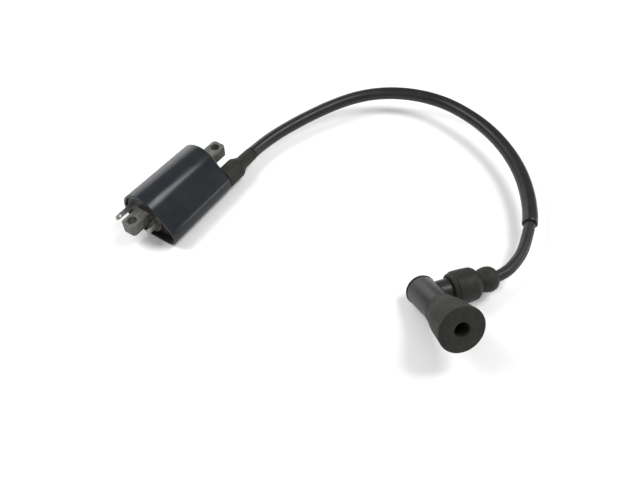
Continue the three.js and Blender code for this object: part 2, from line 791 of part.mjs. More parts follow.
function plugTerminal() {
  return turned('z', [
    [SOCKET_SEAT_Z + GAP, 0],
    [SOCKET_SEAT_Z + GAP, SOCKET_BORE_R - GAP],
    [TERMINAL_FRONT_Z, SOCKET_BORE_R - GAP],
    [TERMINAL_FRONT_Z, TERMINAL_BORE_R + 0.2],
    [RING_Z + 0.6, TERMINAL_BORE_R + 0.2],
    [RING_Z + 0.6, TERMINAL_GROOVE_R],
    [RING_Z - 0.6, TERMINAL_GROOVE_R],
    [RING_Z - 0.6, TERMINAL_BORE_R],
    [TERMINAL_FLOOR_Z, TERMINAL_BORE_R],
    [TERMINAL_FLOOR_Z, 0],
  ], 20);
}

// An open wire ring that grips the plug's nut inside the terminal's groove
function snapRing() {
  const last = 2 * Math.PI - RING_HALF_GAP;
  const arc = new THREE.EllipseCurve(0, 0, RING_R, RING_R, RING_HALF_GAP, last);
  const points = arc.getPoints(24).map((point) => new THREE.Vector3(point.x, point.y, RING_Z));
  return tubeAlong(new THREE.CatmullRomCurve3(points), 24, RING_WIRE_R, 0, 6);
}

function plugBoot() {
  const back = BOOT_BACK_Z;
  const front = BOOT_FRONT_Z;
  return turned('z', [
    [back, TUBE_R + GAP],
    [back, 10],
    [back + 4, 10.4],
    [back + 8, 11.5],
    [back + 12, 12.3],
    [back + 17, 12.8],
    [back + 22, 13.4],
    [front - 1.6, 13.9],
    [front - 0.7, 14],
    [front, 13.5],
    [front, BOOT_MOUTH_R + 0.3],
    [front - 0.4, BOOT_MOUTH_R],
    [front - 7.4, BOOT_MOUTH_R],
    [front - 8.6, BOOT_SOCKET_R],
    [TUBE_FRONT_Z + GAP, BOOT_SOCKET_R],
    [TUBE_FRONT_Z + GAP, TUBE_R + GAP],
    [back, TUBE_R + GAP],
  ], 32);
}

function leadBoot() {
  const start = LEAD_BOOT_START_X;
  const end = LEAD_BOOT_END_X;
  return turned('x', [
    [start, ARM_R + GAP],
    [start, 9.3],
    [start + 0.4, 9.7],
    [17, 9.8],
    [17.5, 10.5],
    [24, 10.5],
    [29, 10.1],
    [31, 9.1],
    [32.4, 7.2],
    [33.3, 6.5],
    [34.3, 6.6],
    [35.8, 7.4],
    [38, 7.8],
    [40, 7.9],
    [42.4, 7.3],
    [44.2, 5.9],
    [end, 4.8],
    [end, LEAD_BOOT_BORE_R],
    [ARM_END_X + GAP, LEAD_BOOT_BORE_R],
    [ARM_END_X + GAP, ARM_R + GAP],
    [start, ARM_R + GAP],
  ], 24);
}

const resistor = rod('z', RESISTOR_R, RESISTOR_FROM_Z, RESISTOR_TO_Z, 20);
const spring = tubeAlong(new SpringCurve(), SPRING_TURNS * 12, SPRING_WIRE_R, 0, 6);
add(cap, 'cap_body', capBody(), 'phenolic');
add(cap, 'cap_closure', capClosure(), 'phenolic');
add(cap, 'cap_resistor', resistor, 'ceramic');
add(cap, 'contact_spring', spring, 'steel');
add(cap, 'plug_terminal', plugTerminal(), 'brass');
add(cap, 'snap_ring', snapRing(), 'steel');
add(cap, 'lead_screw', leadScrew(), 'brass');
add(cap, 'plug_boot', plugBoot(), 'rubber');
add(cap, 'lead_boot', leadBoot(), 'rubber');
parts.add(cap);

const ignitionCoil = new THREE.Group();
ignitionCoil.add(parts);

export default ignitionCoil;
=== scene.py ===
# Ignition coil with its sleeved high-tension lead and right-angle plug cap.
# Metres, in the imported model's frame. Helper functions take millimetres where they say so.

import json
import math

import bmesh
import bpy
import numpy as np
from mathutils import Matrix, Vector, noise


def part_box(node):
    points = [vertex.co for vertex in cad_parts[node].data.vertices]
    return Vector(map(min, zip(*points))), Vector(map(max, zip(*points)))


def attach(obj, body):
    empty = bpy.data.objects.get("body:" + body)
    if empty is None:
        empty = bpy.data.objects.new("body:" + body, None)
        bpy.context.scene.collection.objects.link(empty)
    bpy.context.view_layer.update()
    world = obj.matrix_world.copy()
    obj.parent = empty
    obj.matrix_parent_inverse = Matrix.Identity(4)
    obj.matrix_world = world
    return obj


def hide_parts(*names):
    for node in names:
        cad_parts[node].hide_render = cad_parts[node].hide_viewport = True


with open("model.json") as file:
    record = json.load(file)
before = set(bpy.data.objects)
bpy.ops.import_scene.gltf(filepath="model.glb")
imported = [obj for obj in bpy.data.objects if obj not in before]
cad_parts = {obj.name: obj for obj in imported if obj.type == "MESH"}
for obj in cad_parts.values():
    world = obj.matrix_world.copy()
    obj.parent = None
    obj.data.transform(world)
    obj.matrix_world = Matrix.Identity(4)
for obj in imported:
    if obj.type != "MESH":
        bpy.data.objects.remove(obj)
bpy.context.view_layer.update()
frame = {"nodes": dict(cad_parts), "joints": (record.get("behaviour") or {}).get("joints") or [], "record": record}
record = frame["record"]
MM = 0.001

# ---------------------------------------------------------------- places taken from the CAD model

X = Vector((1, 0, 0))
Y = Vector((0, 1, 0))
Z = Vector((0, 0, 1))
case_low, case_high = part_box("coil_case")
core_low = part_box("core_sheet_1")[0]
core_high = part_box("core_sheet_8")[1]
contact_low, contact_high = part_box("ht_contact")
core_axis = (core_low + core_high) / 2
tower_axis = (contact_low + contact_high) / 2
CASE_NEAR = case_low.x / MM
STUB_END = case_high.x / MM
CORE_Y = core_axis.y / MM
CORE_Z = core_axis.z / MM
TOWER_Y = tower_axis.y / MM
TOWER_Z = tower_axis.z / MM

swivel = frame["joints"][0]
joint_at = Vector(swivel["pos_m"])
arm_axis = -Vector(swivel["axis"]).normalized()
boot_face = next(mount for mount in record["mounts"] if mount["name"] == "plug_boot_face")
tube_axis = Vector(boot_face["axis"]).normalized()
side_axis = tube_axis.cross(arm_axis).normalized()


def placed(x_axis, y_axis, z_axis, origin):
    """A frame with the given axes, at an origin in metres."""
    turned = Matrix((x_axis, y_axis, z_axis)).transposed().to_4x4()
    return Matrix.Translation(origin) @ turned


on_core = placed(Y, Z, X, Vector((0, CORE_Y * MM, CORE_Z * MM)))
on_tower = placed(Y, Z, X, Vector((0, TOWER_Y * MM, TOWER_Z * MM)))
on_tube = placed(arm_axis, side_axis, tube_axis, joint_at)
on_arm = placed(side_axis, tube_axis, arm_axis, joint_at)

# ---------------------------------------------------------------- camera

CAMERA_AT = Vector((-0.20282, -0.23917, 0.31793))
CAMERA_LOOK = Vector((0.53441, 0.35121, -0.7688))
CAMERA_LENS = 35.4

camera_data = bpy.data.cameras.new("camera")
camera_data.sensor_width = 36
camera_data.lens = CAMERA_LENS
camera_data.clip_start = 0.01
camera = bpy.data.objects.new("camera", camera_data)
camera.location = CAMERA_AT
camera.rotation_euler = CAMERA_LOOK.to_track_quat("-Z", "Y").to_euler()
bpy.context.scene.collection.objects.link(camera)
bpy.context.scene.camera = camera

# ---------------------------------------------------------------- mesh helpers


def link(name, mesh):
    piece = bpy.data.objects.new(name, mesh)
    bpy.context.scene.collection.objects.link(piece)
    return piece


def smooth(mesh, sharp_degrees=32):
    """Faces out, smooth shading, and edges over the angle kept sharp."""
    work = bmesh.new()
    work.from_mesh(mesh)
    bmesh.ops.remove_doubles(work, verts=work.verts, dist=1e-7)
    bmesh.ops.dissolve_degenerate(work, edges=work.edges, dist=1e-7)
    bmesh.ops.recalc_face_normals(work, faces=work.faces)
    work.to_mesh(mesh)
    work.free()
    mesh.polygons.foreach_set("use_smooth", [True] * len(mesh.polygons))
    mesh.set_sharp_from_angle(angle=math.radians(sharp_degrees))
    mesh.update()


def rounded(points, steps=5):
    """A profile with its corners rounded. Each point is (along, radius) or (along, radius, corner)."""
    out = []
    last = len(points) - 1
    closed = tuple(points[0][:2]) == tuple(points[last][:2])
    for i, point in enumerate(points):
        at = Vector(point[:2])
        corner = point[2] if len(point) > 2 else 0
        if corner <= 0 or (not closed and i in (0, last)):
            out.append(at)
            continue
        before = Vector(points[last - 1 if i == 0 else i - 1][:2])
        after = Vector(points[1 if i == last else i + 1][:2])
        back = before - at
        ahead = after - at
        reach = min(corner, back.length * 0.48, ahead.length * 0.48)
        first = at + back.normalized() * reach
        second = at + ahead.normalized() * reach
        for k in range(steps + 1):
            t = k / steps
            out.append(first.lerp(at, t).lerp(at.lerp(second, t), t))
    return out


def revolve(name, place, profile, sides=96):
    """A body of revolution about the place's Z. The profile is in mm, (along, radius, corner)."""
    points = rounded(profile)
    closed = (points[0] - points[-1]).length < 1e-6
    if closed:
        points = points[:-1]
    verts = []
    rings = []
    for along, radius in points:
        if radius < 1e-6:
            rings.append([len(verts)])
            verts.append(place @ Vector((0, 0, along * MM)))
            continue
        ring = []
        for k in range(sides):
            turn = 2 * math.pi * k / sides
            ring.append(len(verts))
            verts.append(place @ (Vector((radius * math.cos(turn), radius * math.sin(turn), along)) * MM))
        rings.append(ring)
    faces = []
    pairs = list(zip(rings, rings[1:]))
    if closed:
        pairs.append((rings[-1], rings[0]))
    for a, b in pairs:
        for k in range(sides):
            n = (k + 1) % sides
            if len(a) == 1 and len(b) == 1:
                continue
            if len(a) == 1:
                faces.append((a[0], b[n], b[k]))
            elif len(b) == 1:
                faces.append((a[k], a[n], b[0]))
            else:
                faces.append((a[k], a[n], b[n], b[k]))
    mesh = bpy.data.meshes.new(name)
    mesh.from_pydata(verts, [], faces)
    smooth(mesh)
    return link(name, mesh)


def twin_outline(barrel_r, tower_r, barrel_steps=88, tower_steps=36):
    """The outline round the barrel and the tower, as (y, z) in mm about the core's axis."""
    dy = TOWER_Y - CORE_Y
    dz = TOWER_Z - CORE_Z
    base = math.atan2(dz, dy)
    spread = math.acos((barrel_r - tower_r) / math.hypot(dy, dz))
    outline = []
    for k in range(barrel_steps + 1):
        turn = base + spread + (2 * math.pi - 2 * spread) * k / barrel_steps
        outline.append((barrel_r * math.cos(turn), barrel_r * math.sin(turn)))
    for k in range(tower_steps + 1):
        turn = base - spread + 2 * spread * k / tower_steps
        outline.append((dy + tower_r * math.cos(turn), dz + tower_r * math.sin(turn)))
    return outline


def loft(name, sections):
    """A closed body through outlines of equal length. Each section is (x in mm, outline)."""
    verts = []
    for x, outline in sections:
        verts += [Vector((x, CORE_Y + y, CORE_Z + z)) * MM for y, z in outline]
    count = len(sections[0][1])
    faces = [tuple(range(count)), tuple(range(len(verts) - count, len(verts)))]
    for s in range(len(sections) - 1):
        for k in range(count):
            n = (k + 1) % count
            faces.append((s * count + k, s * count + n, (s + 1) * count + n, (s + 1) * count + k))
    mesh = bpy.data.meshes.new(name)
    mesh.from_pydata(verts, [], faces)
    smooth(mesh)
    return link(name, mesh)


def block(name, low, high):
    """A box between two corners in mm, used as a cutter or a rib."""
    mesh = bpy.data.meshes.new(name)
    work = bmesh.new()
    bmesh.ops.create_cube(work, size=1)
    for v in work.verts:
        v.co = Vector([(l + h) / 2 + c * (h - l) for l, h, c in zip(low, high, v.co)]) * MM
    work.to_mesh(mesh)
    work.free()
    return link(name, mesh)


def combine(base, tools, operation):
    """The base with each tool joined to it or cut from it, and the tools removed."""
    for tool in tools:
        step = base.modifiers.new("step", "BOOLEAN")
        step.operation = operation
        step.solver = "EXACT"
        step.object = tool
        bpy.context.view_layer.update()
        depsgraph = bpy.context.evaluated_depsgraph_get()
        result = bpy.data.meshes.new_from_object(base.evaluated_get(depsgraph))
        base.modifiers.clear()
        base.data = result
        bpy.data.objects.remove(tool)
    smooth(base.data)
    return base


def plate(name, loops, thickness, bevel, place):
    """A flat plate with small rounded edges, from closed loops of (u, v) in mm, the first the outline."""
    outline = bpy.data.curves.new(name, "CURVE")
    outline.dimensions = "2D"
    outline.fill_mode = "BOTH"
    outline.extrude = (thickness / 2 - bevel) * MM
    outline.bevel_depth = bevel * MM
    outline.bevel_resolution = 2
    outline.offset = -bevel * MM
    for loop in loops:
        spline = outline.splines.new("POLY")
        spline.points.add(len(loop) - 1)
        for point, (u, v) in zip(spline.points, loop):
            point.co = (u * MM, v * MM, 0, 1)
        spline.use_cyclic_u = True
    drawn = bpy.data.objects.new(name + "_outline", outline)
    bpy.context.scene.collection.objects.link(drawn)
    bpy.context.view_layer.update()
    depsgraph = bpy.context.evaluated_depsgraph_get()
    mesh = bpy.data.meshes.new_from_object(drawn.evaluated_get(depsgraph))
    bpy.data.objects.remove(drawn)
    mesh.transform(place)
    smooth(mesh, 40)
    return link(name, mesh)


def circle(u, v, radius, steps):
    turns = [2 * math.pi * k / steps for k in range(steps)]
    return [(u + radius * math.cos(turn), v + radius * math.sin(turn)) for turn in turns]


def corner_arc(u, v, radius, first, last, steps=8):
    """Points on an arc between two angles in degrees."""
    turns = [math.radians(first + (last - first) * k / steps) for k in range(steps + 1)]
    return [(u + radius * math.cos(turn), v + radius * math.sin(turn)) for turn in turns]


def ready(piece, body, slot, *nodes):
    """The piece takes its slot's material, rides on the body and stands for the CAD nodes."""
    piece.data.materials.clear()
    piece.data.materials.append(materials[slot])
    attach(piece, body)
    if nodes:
        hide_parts(*nodes)
    return piece


# ---------------------------------------------------------------- materials

# base and tone are the two colours that the noise mixes; grain is its size in mm on each axis;
# rough is the range of roughness; bump is the depth of the fine texture in mm and fine its size;
# swell is the depth in mm of slow waves; dust is the colour of specks; shine is the specular level
FINISHES = {
    "case_plastic": dict(base=(0.015, 0.0175, 0.021), tone=(0.02, 0.023, 0.027), grain=(9, 9, 9),
                         rough=(0.18, 0.27), bump=0.003, fine=0.5, shine=0.23),
    "bobbin_plastic": dict(base=(0.014, 0.0125, 0.0115), tone=(0.028, 0.025, 0.022), grain=(3, 3, 3),
                           rough=(0.38, 0.55), bump=0.01, fine=0.3),
    "potting_resin": dict(base=(0.01, 0.008, 0.007), tone=(0.026, 0.019, 0.016), grain=(3.5, 3.5, 3.5),
                          rough=(0.35, 0.55), bump=0.02, fine=0.8, swell=0.05),
    "core_iron": dict(base=(0.075, 0.074, 0.067), tone=(0.17, 0.167, 0.154), grain=(3, 0.8, 1.5),
                      rough=(0.45, 0.62), bump=0.012, fine=0.25, metallic=0.6),
    "enamelled_copper": dict(base=(0.3, 0.09, 0.03), tone=(0.48, 0.18, 0.07), grain=(0.25, 4, 4),
                             rough=(0.25, 0.4), bump=0.03, fine=0.3, metallic=0.9),
    "bare_copper": dict(base=(0.55, 0.24, 0.13), tone=(0.75, 0.38, 0.24), grain=(4, 0.4, 0.4),
                        rough=(0.3, 0.45), bump=0.02, fine=0.3, metallic=1),
    "tinned_brass": dict(base=(0.5, 0.495, 0.475), tone=(0.72, 0.71, 0.685), grain=(2.5, 2, 0.6),
                         rough=(0.38, 0.56), bump=0.006, fine=0.2, metallic=0.95),
    "brass": dict(base=(0.5, 0.36, 0.14), tone=(0.68, 0.52, 0.24), grain=(1.5, 1.5, 0.4),
                  rough=(0.25, 0.4), bump=0.006, fine=0.2, metallic=1),
    "spring_steel": dict(base=(0.5, 0.5, 0.5), tone=(0.62, 0.62, 0.61), grain=(1, 1, 1),
                         rough=(0.2, 0.35), bump=0.004, fine=0.2, metallic=1),
    "lead_jacket": dict(base=(0.012, 0.012, 0.0125), tone=(0.02, 0.02, 0.02), grain=(5, 5, 5),
                        rough=(0.38, 0.52), bump=0.008, fine=0.35, shine=0.3),
    "sleeve_vinyl": dict(base=(0.01, 0.01, 0.0105), tone=(0.016, 0.016, 0.0165), grain=(9, 9, 9),
                         rough=(0.3, 0.42), bump=0.006, fine=0.6, swell=0.03, shine=0.3),
    "boot_rubber": dict(base=(0.0105, 0.0105, 0.0085), tone=(0.02, 0.0205, 0.0165), grain=(6, 6, 6),
                        rough=(0.55, 0.75), bump=0.015, fine=0.22, dust=(0.033, 0.033, 0.0275),
                        shine=0.3),
    "phenolic": dict(base=(0.012, 0.012, 0.0115), tone=(0.02, 0.02, 0.019), grain=(4, 4, 4),
                     rough=(0.3, 0.45), bump=0.01, fine=0.3, shine=0.28),
    "ceramic": dict(base=(0.5, 0.45, 0.37), tone=(0.6, 0.56, 0.48), grain=(2, 2, 2),
                    rough=(0.5, 0.7), bump=0.01, fine=0.2),
}
SWELL_SIZE = 7
DUST_SIZE = 1.6


def ranged(nodes, links, source, low, high, start=0.3, end=0.7):
    """The source's values between start and end, spread from low to high."""
    spread = nodes.new("ShaderNodeMapRange")
    spread.inputs["From Min"].default_value = start
    spread.inputs["From Max"].default_value = end
    spread.inputs["To Min"].default_value = low
    spread.inputs["To Max"].default_value = high
    links.new(source, spread.inputs["Value"])
    return spread.outputs["Result"]


def make_material(slot, base, tone, grain, rough, bump, fine, metallic=0, swell=0, dust=None, shine=0.5):
    """One slot's material: two mixed tones, uneven roughness and a fine relief."""
    material = bpy.data.materials.new(slot)
    material.use_nodes = True
    nodes = material.node_tree.nodes
    links = material.node_tree.links
    shader = nodes["Principled BSDF"]
    shader.inputs["Metallic"].default_value = metallic
    shader.inputs["Specular IOR Level"].default_value = shine
    place = nodes.new("ShaderNodeTexCoord").outputs["Object"]

    def cloud(size, detail, offset=0.0):
        """Noise whose features are about that size in mm, on each axis."""
        sizes = size if isinstance(size, tuple) else (size, size, size)
        mapping = nodes.new("ShaderNodeMapping")
        mapping.inputs["Scale"].default_value = [1 / (s * MM) for s in sizes]
        mapping.inputs["Location"].default_value = (offset, offset, offset)
        texture = nodes.new("ShaderNodeTexNoise")
        texture.inputs["Scale"].default_value = 1
        texture.inputs["Detail"].default_value = detail
        texture.inputs["Roughness"].default_value = 0.6
        links.new(place, mapping.inputs["Vector"])
        links.new(mapping.outputs["Vector"], texture.inputs["Vector"])
        return texture.outputs["Fac"]

    def mixed(amount, first, second):
        mix = nodes.new("ShaderNodeMix")
        mix.data_type = "RGBA"
        links.new(amount, mix.inputs[0])
        for socket, colour in ((mix.inputs[6], first), (mix.inputs[7], second)):
            if isinstance(colour, tuple):
                socket.default_value = (*colour, 1)
            else:
                links.new(colour, socket)
        return mix.outputs[2]

    broad = cloud(grain, 5)
    small = cloud(fine, 4, 7.3)
    colour = mixed(ranged(nodes, links, broad, 0, 1), base, tone)
    if dust:
        specks = cloud(DUST_SIZE, 6, 3.1)
        colour = mixed(ranged(nodes, links, specks, 0, 0.55, 0.5, 0.75), colour, dust)
    links.new(colour, shader.inputs["Base Color"])
    uneven = cloud(tuple(size * 0.6 for size in grain), 6, 1.7)
    links.new(ranged(nodes, links, uneven, *rough), shader.inputs["Roughness"])
    relief = nodes.new("ShaderNodeBump")
    relief.inputs["Strength"].default_value = 1
    relief.inputs["Distance"].default_value = bump * MM
    links.new(small, relief.inputs["Height"])
    if swell:
        wave = nodes.new("ShaderNodeBump")
        wave.inputs["Strength"].default_value = 1
        wave.inputs["Distance"].default_value = swell * MM
        links.new(cloud(SWELL_SIZE, 2, 5.9), wave.inputs["Height"])
        links.new(wave.outputs["Normal"], relief.inputs["Normal"])
    links.new(relief.outputs["Normal"], shader.inputs["Normal"])
    return material


materials = {slot: make_material(slot, **finish) for slot, finish in FINISHES.items()}
for subpart in record["subparts"]:
    node = frame["nodes"][subpart["node"]]
    node.data.materials.clear()
    node.data.materials.append(materials[subpart["material_slot"]])
    node.material_slots[0].material = materials[subpart["material_slot"]]

# ---------------------------------------------------------------- lead and sleeve

# The lead's route in metres, as in the CAD source, out of the tower and round to the cap's arm
LEAD_ROUTE = [
    (0.0055, -0.01225, 0.009),
    (0.0175, -0.01225, 0.009),
    (0.0295, -0.01225, 0.009),
    (0.0415, -0.01225, 0.009),
    (0.0535, -0.01225, 0.009),
    (0.0655, -0.01345, 0.0095),
    (0.078, -0.01605, 0.0103),
    (0.092, -0.02045, 0.0114),
    (0.109, -0.02715, 0.0128),
    (0.1255, -0.03515, 0.0142),
    (0.1409, -0.04515, 0.0155),
    (0.1539, -0.05835, 0.0167),
    (0.1629, -0.07405, 0.0177),
    (0.1679, -0.09155, 0.0185),
    (0.1689, -0.10905, 0.0189),
    (0.1657, -0.12695, 0.0191),
    (0.1595, -0.14445, 0.019),
    (0.1505, -0.16055, 0.0186),
    (0.1391, -0.17485, 0.0181),
    (0.1258, -0.18705, 0.0174),
    (0.1109, -0.19705, 0.0166),
    (0.0951, -0.20465, 0.0157),
    (0.082, -0.20805, 0.0149),
    (0.06942, -0.21006, 0.014),
    (0.06087, -0.2098, 0.0134),
    (0.05213, -0.20821, 0.013),
]
# the last points lie on the arm's axis, at these distances in metres from the joint
ARM_STATIONS = [0.046, 0.036, 0.024, 0.012]
LEAD_DIAMETER = 0.0072

# the sleeve's ends as shares of the lead's length, and its radii in mm
SLEEVE_FIRST = 4 / 36
SLEEVE_LAST = 29 / 36
SLEEVE_BORE = 3.8
SLEEVE_R_COIL = 4.4
SLEEVE_R_CAP = 4.9
SLEEVE_RIM = 0.18
SLEEVE_STATIONS = 150


def catmull_rom(points, steps):
    """Points along a centripetal Catmull-Rom curve through the given ones."""
    first = points[0] * 2 - points[1]
    last = points[-1] * 2 - points[-2]
    ends = [first, *points, last]
    out = []
    for p0, p1, p2, p3 in zip(ends, ends[1:], ends[2:], ends[3:]):
        d0, d1, d2 = [(b - a).length ** 0.5 for a, b in ((p0, p1), (p1, p2), (p2, p3))]
        t1 = ((p1 - p0) / d0 - (p2 - p0) / (d0 + d1) + (p2 - p1) / d1) * d1
        t2 = ((p2 - p1) / d1 - (p3 - p1) / (d1 + d2) + (p3 - p2) / d2) * d1
        for k in range(steps):
            t = k / steps
            c2 = -3 * p1 + 3 * p2 - 2 * t1 - t2
            c3 = 2 * p1 - 2 * p2 + t1 + t2
            out.append(p1 + t1 * t + c2 * t * t + c3 * t * t * t)
    out.append(points[-1])
    return out


class Route:
    """The lead's centreline by its own length."""

    def __init__(self, points):
        self.points = points
        steps = [(b - a).length for a, b in zip(points, points[1:])]
        self.at = np.concatenate([[0], np.cumsum(steps)])
        self.length = float(self.at[-1])

    def point(self, distance):
        return Vector([np.interp(distance, self.at, [p[i] for p in self.points]) for i in range(3)])

    def frames(self, distances):
        """A point and two cross axes at each distance, turning as little as possible."""
        out = []
        across = None
        for distance in distances:
            ahead = self.point(min(distance + 0.0004, self.length))
            behind = self.point(max(distance - 0.0004, 0))
            along = (ahead - behind).normalized()
            if across is None:
                across = along.orthogonal()
            across = (across - along * across.dot(along)).normalized()
            out.append((self.point(distance), across, along.cross(across)))
        return out


lead_points = [Vector(point) for point in LEAD_ROUTE]
lead_points += [joint_at + arm_axis * distance for distance in ARM_STATIONS]
route = Route(catmull_rom(lead_points, 14))


def make_lead():
    curve = bpy.data.curves.new("lead", "CURVE")
    curve.dimensions = "3D"
    curve.bevel_depth = LEAD_DIAMETER / 2
    curve.bevel_resolution = 8
    curve.use_fill_caps = True
    spline = curve.splines.new("POLY")
    spline.points.add(len(route.points) - 1)
    for point, place in zip(spline.points, route.points):
        point.co = (*place, 1)
    spline.use_smooth = True
    return link("lead", curve)


def make_sleeve(sides=40):
    """A thin vinyl tube over the lead, slightly uneven and wider towards its cap end."""
    start = SLEEVE_FIRST * route.length
    end = SLEEVE_LAST * route.length
    stations = np.linspace(start, end, SLEEVE_STATIONS)
    layers = []
    for i, distance in enumerate(stations):
        share = i / (len(stations) - 1)
        swell = 0.05 * noise.noise(Vector((share * 14, 3.1, 0)))
        layers.append((distance, SLEEVE_R_COIL + (SLEEVE_R_CAP - SLEEVE_R_COIL) * share ** 1.3 + swell))
    first_r = layers[0][1]
    last_r = layers[-1][1]
    outer = [(start, first_r - SLEEVE_RIM), (start + SLEEVE_RIM * MM, first_r)] + layers[1:-1]
    outer += [(end - SLEEVE_RIM * MM, last_r), (end, last_r - SLEEVE_RIM)]
    inner = [(distance, SLEEVE_BORE) for distance in stations[::-1]]
    path = sorted({distance for distance, _ in outer + inner})
    frames = dict(zip(path, route.frames(path)))
    verts = []
    for distance, radius in outer + inner:
        centre, across, up = frames[distance]
        for k in range(sides):
            turn = 2 * math.pi * k / sides
            verts.append(centre + (across * math.cos(turn) + up * math.sin(turn)) * radius * MM)
    rows = len(outer + inner)
    faces = []
    for row in range(rows):
        a = row * sides
        b = (row + 1) % rows * sides
        for k in range(sides):
            n = (k + 1) % sides
            faces.append((a + k, a + n, b + n, b + k))
    mesh = bpy.data.meshes.new("sleeve")
    mesh.from_pydata(verts, [], faces)
    smooth(mesh, 45)
    return link("sleeve", mesh)


lead = ready(make_lead(), "coil", "lead_jacket", "ht_lead")
sleeve = ready(make_sleeve(), "coil", "sleeve_vinyl", "lead_sleeve")

# ---------------------------------------------------------------- moulded case

# sizes in mm
BARREL_R = 16.3
BARREL_R_FAR = 16.1
TOWER_R = 9
TOWER_R_FAR = 7.9
SHELL_LENGTH = 59.5
CASE_FAR = CASE_NEAR + SHELL_LENGTH
CASE_WALL = 1.8
CAVITY_R = 14.4
CAVITY_DEPTH = 57.3
POCKET_DEPTH = 7.5
STUB_R = 5.9
LEAD_BORE_R = 3.9
RIB_OFFSETS = (-6, 0, 6)
RIB_HALF_THICKNESS = 0.5
RIB_HEIGHT = 3.4
RIB_SETBACK = 1.2
NEAR_EDGE_R = 0.45
FAR_EDGE_R = 2.2
RIM_CHAMFER = 0.4
POCKET_FLARE = 0.35
LEAD_BORE_FLARE = 0.5
CONTACT_CLEARANCE = 0.8
CORE_CLEARANCE = 0.15


def case_outline(x, inset, **steps):
    """The outline at x, drawn in by the inset. Both circles shrink a little towards the far end."""
    along = (x - CASE_NEAR) / SHELL_LENGTH
    barrel_r = BARREL_R + (BARREL_R_FAR - BARREL_R) * along
    tower_r = TOWER_R + (TOWER_R_FAR - TOWER_R) * along
    return twin_outline(barrel_r - inset, tower_r - inset, **steps)


def edge_sections(x, radius, inward, steps=5):
    """Sections round an edge: inward is 1 where the body starts at x, and -1 where it ends there."""
    out = []
    for k in range(steps + 1):
        turn = math.pi / 2 * k / steps
        at = x + inward * radius * (1 - math.cos(turn))
        inset = radius * (1 - math.sin(turn))
        out.append((at, case_outline(at, inset)))
    return out


def make_case():
    """The barrel and the tower as one shell, with the stub, the bores and the pocket's ribs."""
    near_edge = edge_sections(CASE_NEAR, NEAR_EDGE_R, 1)
    far_edge = edge_sections(CASE_FAR, FAR_EDGE_R, -1, steps=8)[::-1]
    middle = [(x, case_outline(x, 0)) for x in (CASE_NEAR + 20, CASE_NEAR + 40)]
    shell = loft("case", near_edge + middle + far_edge)
    stub = revolve("stub", on_tower, [
        (CASE_FAR - 3, 0), (CASE_FAR - 3, 7.2), (CASE_FAR + 0.1, 6.9), (CASE_FAR + 0.9, STUB_R, 0.6),
        (STUB_END, STUB_R, 0.5), (STUB_END, 0)])
    combine(shell, [stub], "UNION")
    bore = revolve("bore", on_core, [
        (CASE_NEAR - 1, 0), (CASE_NEAR - 1, CAVITY_R + RIM_CHAMFER), (CASE_NEAR, CAVITY_R + RIM_CHAMFER),
        (CASE_NEAR + RIM_CHAMFER, CAVITY_R), (CASE_NEAR + CAVITY_DEPTH, CAVITY_R),
        (CASE_NEAR + CAVITY_DEPTH, 0)], 120)
    pocket = loft("pocket", [
        (CASE_NEAR - 1, case_outline(CASE_NEAR, CASE_WALL - POCKET_FLARE)),
        (CASE_NEAR, case_outline(CASE_NEAR, CASE_WALL - POCKET_FLARE)),
        (CASE_NEAR + RIM_CHAMFER, case_outline(CASE_NEAR, CASE_WALL)),
        (CASE_NEAR + POCKET_DEPTH, case_outline(CASE_NEAR + POCKET_DEPTH, CASE_WALL))])
    bore_end = contact_low.x / MM - CONTACT_CLEARANCE
    bore_mouth_r = LEAD_BORE_R + LEAD_BORE_FLARE
    lead_bore = revolve("lead_bore", on_tower, [
        (bore_end, 0), (bore_end, LEAD_BORE_R), (STUB_END - 0.4, LEAD_BORE_R),
        (STUB_END + 0.1, bore_mouth_r), (STUB_END + 1, bore_mouth_r), (STUB_END + 1, 0)], 64)
    half_width = (core_high.y - core_low.y) / MM / 2 + CORE_CLEARANCE
    half_height = (core_high.z - core_low.z) / MM / 2 + CORE_CLEARANCE
    window = block("window", (CASE_FAR - 4, CORE_Y - half_width, CORE_Z - half_height),
                   (CASE_FAR + 1, CORE_Y + half_width, CORE_Z + half_height))
    combine(shell, [bore, pocket, lead_bore, window], "DIFFERENCE")
    ribs = []
    for offset in RIB_OFFSETS:
        reach = math.sqrt((TOWER_R - CASE_WALL / 2) ** 2 - offset ** 2)
        middle = TOWER_Z + offset
        low = (CASE_NEAR + RIB_SETBACK, TOWER_Y - reach, middle - RIB_HALF_THICKNESS)
        high = (CASE_NEAR + POCKET_DEPTH, TOWER_Y - reach + RIB_HEIGHT, middle + RIB_HALF_THICKNESS)
        ribs.append(block("rib", low, high))
    combine(shell, ribs, "UNION")
    return shell


ready(make_case(), "coil", "case_plastic", "coil_case")

# ---------------------------------------------------------------- iron core

CORE_CORNER = 2.4
FIXING_R = 3.1
SHEET_SHIFT = 0.05
SHEET_BEVEL = 0.11
FIXING_X = [(low + high) / 2 / MM for low, high in (
    (opening["box_m"][0][0], opening["box_m"][1][0])
    for opening in record["physics"]["openings"] if opening["name"].endswith("fixing_hole"))]


def sheet_loops(low, high, corner, hole):
    """The outline and the holes of one core sheet, in mm along X and Y."""
    x0, y0, x1, y1 = low.x / MM, low.y / MM, high.x / MM, high.y / MM
    outline = corner_arc(x1 - corner, y0 + corner, corner, -90, 0)
    outline += corner_arc(x1 - corner, y1 - corner, corner, 0, 90)
    outline += corner_arc(x0 + corner, y1 - corner, corner, 90, 180)
    outline += corner_arc(x0 + corner, y0 + corner, corner, 180, 270)
    return [outline] + [circle(x, (y0 + y1) / 2, hole, 48) for x in FIXING_X]


